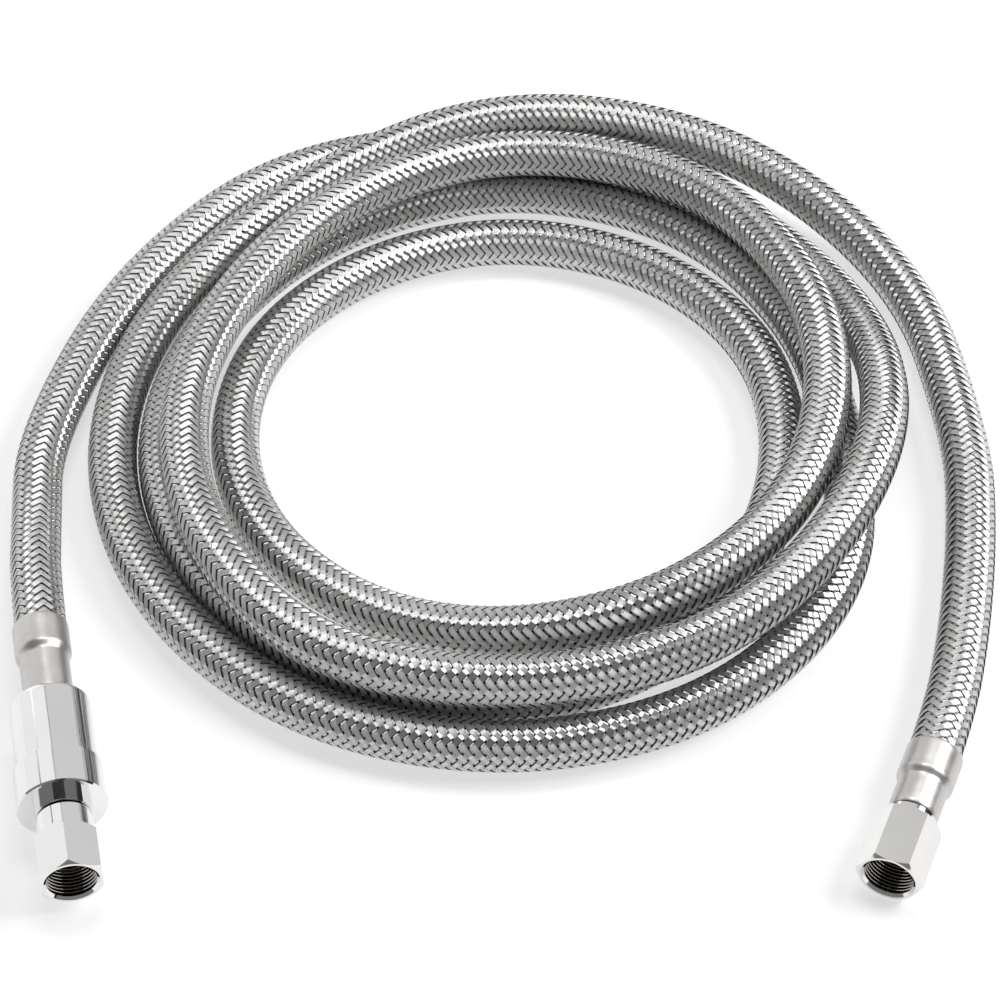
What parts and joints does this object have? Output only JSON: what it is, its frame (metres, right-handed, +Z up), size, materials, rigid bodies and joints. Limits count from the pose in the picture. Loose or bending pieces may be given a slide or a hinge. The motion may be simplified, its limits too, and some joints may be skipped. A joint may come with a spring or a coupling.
{
  "type": "braided supply line",
  "caption": "Stainless-braided flexible water supply hose in a loose flat coil, with crimped ferrules, hexagon swivel nuts and an in-line excess-flow shut-off valve at the inlet end.",
  "frame": {"origin": "on the surface that the line lies on, under the middle of the whole coiled line", "axes": "+Z up from that surface; +Y away from the two fittings, which lie side by side on the -Y side with the valve on the -X side"},
  "size_m": [0.2853, 0.3034, 0.03],
  "materials": {
    "braid_wire": "bright drawn wire",
    "liner_rubber": "matt",
    "ferrule_steel": "satin",
    "polished_chrome": "mirror",
    "nickel_plate": "bright",
    "brass": "machined",
    "seal_rubber": "matt",
    "acetal": "smooth",
    "spring_wire": "drawn wire"
  },
  "bodies": {
    "hose_line": {"braid_sleeve": "braid_wire", "inner_tube": "liner_rubber", "inlet_ferrule": "ferrule_steel", "outlet_ferrule": "ferrule_steel", "outlet_stem": "brass", "outlet_cone_washer": "seal_rubber", "inlet_barb": "brass", "barb_o_ring": "seal_rubber", "valve_body": "polished_chrome", "body_o_ring": "seal_rubber", "valve_collar": "polished_chrome", "valve_seat": "brass", "poppet_guide": "acetal", "guide_snap_ring": "spring_wire", "poppet_spring": "spring_wire", "tail_o_ring": "seal_rubber", "inlet_tail_piece": "brass", "inlet_cone_washer": "seal_rubber"},
    "inlet_nut": {"inlet_swivel_nut": "polished_chrome"},
    "outlet_nut": {"outlet_swivel_nut": "nickel_plate"},
    "poppet": {"poppet": "acetal", "poppet_seal": "seal_rubber"}
  },
  "joints": [
    {"name": "inlet_nut_spin", "type": "hinge", "parent": "hose_line", "child": "inlet_nut", "pos_m": [-0.11215, -0.14055, 0.012], "axis": [0.1994, -0.9799, 0], "continuous": true},
    {"name": "outlet_nut_spin", "type": "hinge", "parent": "hose_line", "child": "outlet_nut", "pos_m": [0.10229, -0.13632, 0.00794], "axis": [-0.373, -0.9278, 0], "continuous": true},
    {"name": "poppet_slide", "type": "slide", "parent": "hose_line", "child": "poppet", "axis": [-0.1994, 0.9799, 0], "range_m": [0, 0.0024], "stiffness_N_per_m": 250, "springref_m": -0.004, "deforming": ["poppet_spring"]}
  ]
}
